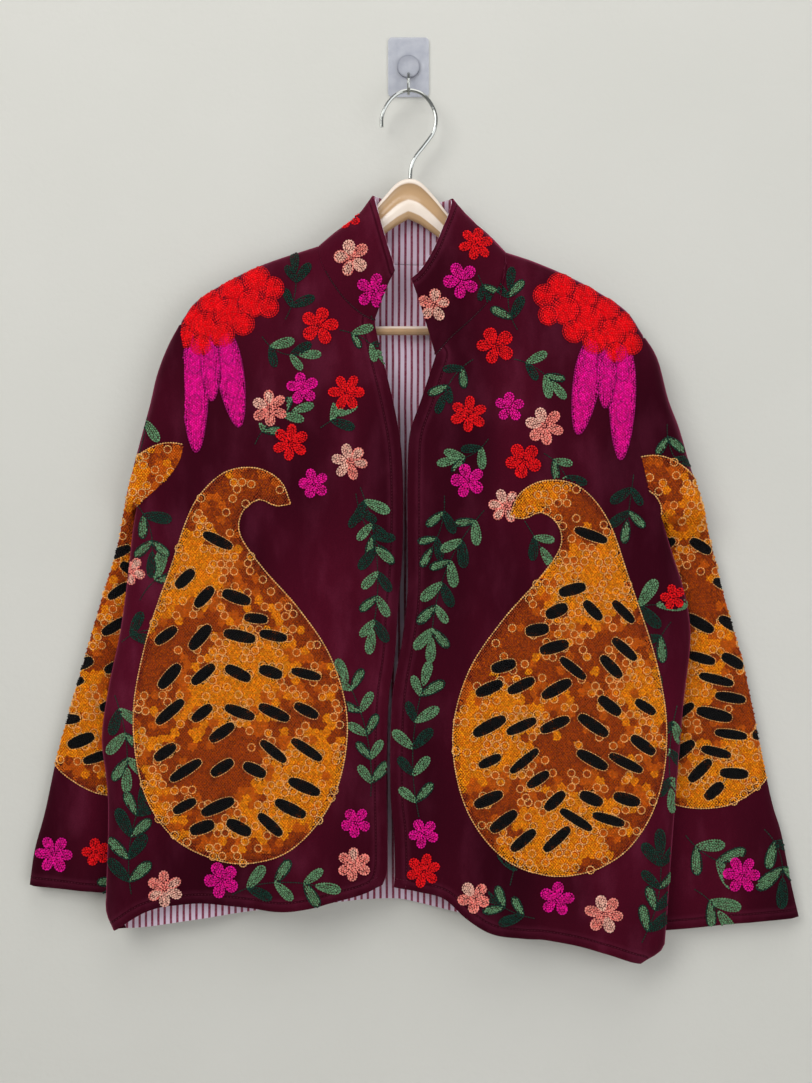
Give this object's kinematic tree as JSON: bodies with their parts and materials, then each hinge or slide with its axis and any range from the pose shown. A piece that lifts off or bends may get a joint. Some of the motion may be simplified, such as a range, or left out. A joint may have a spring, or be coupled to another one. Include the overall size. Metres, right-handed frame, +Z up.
{
  "type": "embroidered velvet jacket on a hanger and wall hook",
  "caption": "Open-front velvet jacket with a stand collar and long sleeves, hanging flat on a plastic hanger from a stick-on wall hook.",
  "frame": {"origin": "middle of the wall pad's back face, on the wall", "axes": "+Z up, +Y into the wall, so the jacket's front faces -Y; the wearer's left is at +X"},
  "size_m": [0.747, 0.058, 0.897],
  "materials": {
    "velvet": "burgundy velvet with chain stitch embroidery",
    "striped_cotton": "woven cotton, pale lilac with burgundy pinstripes",
    "ivory_plastic": "glossy moulded plastic",
    "chrome": "polished wire",
    "clear_plastic": "clear moulded plastic"
  },
  "bodies": {
    "root": {"front_right": "velvet", "front_left": "velvet", "back": "velvet", "sleeve_right": "velvet", "sleeve_left": "velvet", "collar": "velvet", "collar_lining": "striped_cotton", "back_lining": "striped_cotton", "hanger_body": "ivory_plastic", "hanger_bar": "ivory_plastic", "hanger_hook": "chrome", "wall_hook": "chrome", "wall_pad": "clear_plastic"}
  },
  "joints": []
}
